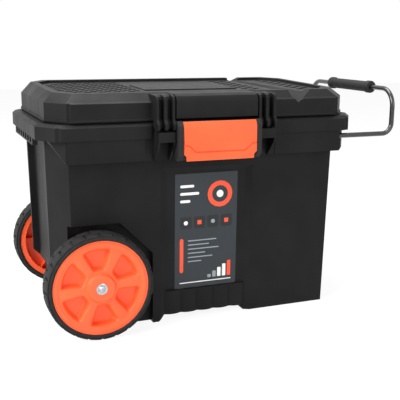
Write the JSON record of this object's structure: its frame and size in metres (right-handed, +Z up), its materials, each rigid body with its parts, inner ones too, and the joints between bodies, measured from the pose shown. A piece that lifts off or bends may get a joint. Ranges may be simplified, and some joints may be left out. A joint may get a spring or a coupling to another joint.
{
  "type": "wheeled toolbox",
  "caption": "Wheeled toolbox: tub with moulded rim, hinged lid with front latch, spoked wheels on one axle, and a steel handle that slides out of channels under the rim.",
  "frame": {"origin": "on the floor under the middle of the whole object", "axes": "+X along the box towards the pull handle, +Y from the latch to the hinges, +Z up"},
  "size_m": [0.7095, 0.405, 0.4335],
  "materials": {
    "black_plastic": "black polypropylene with a fine moulded grain",
    "grey_plastic": "dark grey polypropylene",
    "orange_plastic": "bright orange polypropylene, satin",
    "grip_plastic": "matt black soft sleeve",
    "black_steel": "black enamel on steel rod",
    "zinc_steel": "bright zinc plate",
    "tyre": "matt moulded tyre with block tread",
    "label_film": "printed satin film label, no text"
  },
  "bodies": {
    "tub_body": {"tub": "black_plastic", "bracket_left": "black_plastic", "bracket_right": "black_plastic", "hinge_pin_left": "zinc_steel", "hinge_pin_right": "zinc_steel", "rod_guide_front": "grey_plastic", "rod_guide_rear": "grey_plastic", "axle": "zinc_steel", "washer_front": "zinc_steel", "washer_rear": "zinc_steel", "push_nut_front": "zinc_steel", "push_nut_rear": "zinc_steel", "label": "label_film"},
    "lid_body": {"lid": "black_plastic", "latch_pin": "zinc_steel"},
    "latch": {"latch_frame": "grey_plastic", "latch_cover": "orange_plastic"},
    "handle": {"handle_rod": "black_steel", "handle_grip": "grip_plastic", "rod_stop_front": "grey_plastic", "rod_stop_rear": "grey_plastic"},
    "front_wheel": {"wheel_front": "orange_plastic", "tyre_front": "tyre"},
    "rear_wheel": {"wheel_rear": "orange_plastic", "tyre_rear": "tyre"}
  },
  "joints": [
    {"name": "lid_hinge", "type": "hinge", "parent": "tub_body", "child": "lid_body", "pos_m": [-0.04575, 0.1798, 0.379], "axis": [-1, 0, 0], "range_deg": [0, 100]},
    {"name": "latch_swing", "type": "hinge", "parent": "lid_body", "child": "latch", "pos_m": [-0.04575, -0.1885, 0.371], "axis": [-1, 0, 0], "range_deg": [0, 95]},
    {"name": "handle_slide", "type": "slide", "parent": "tub_body", "child": "handle", "axis": [1, 0, 0], "range_m": [-0.065, 0.33]},
    {"name": "front_wheel_spin", "type": "hinge", "parent": "tub_body", "child": "front_wheel", "pos_m": [-0.25975, -0.1675, 0.095], "axis": [0, 1, 0], "continuous": true},
    {"name": "rear_wheel_spin", "type": "hinge", "parent": "tub_body", "child": "rear_wheel", "pos_m": [-0.25975, 0.1745, 0.095], "axis": [0, 1, 0], "continuous": true}
  ]
}
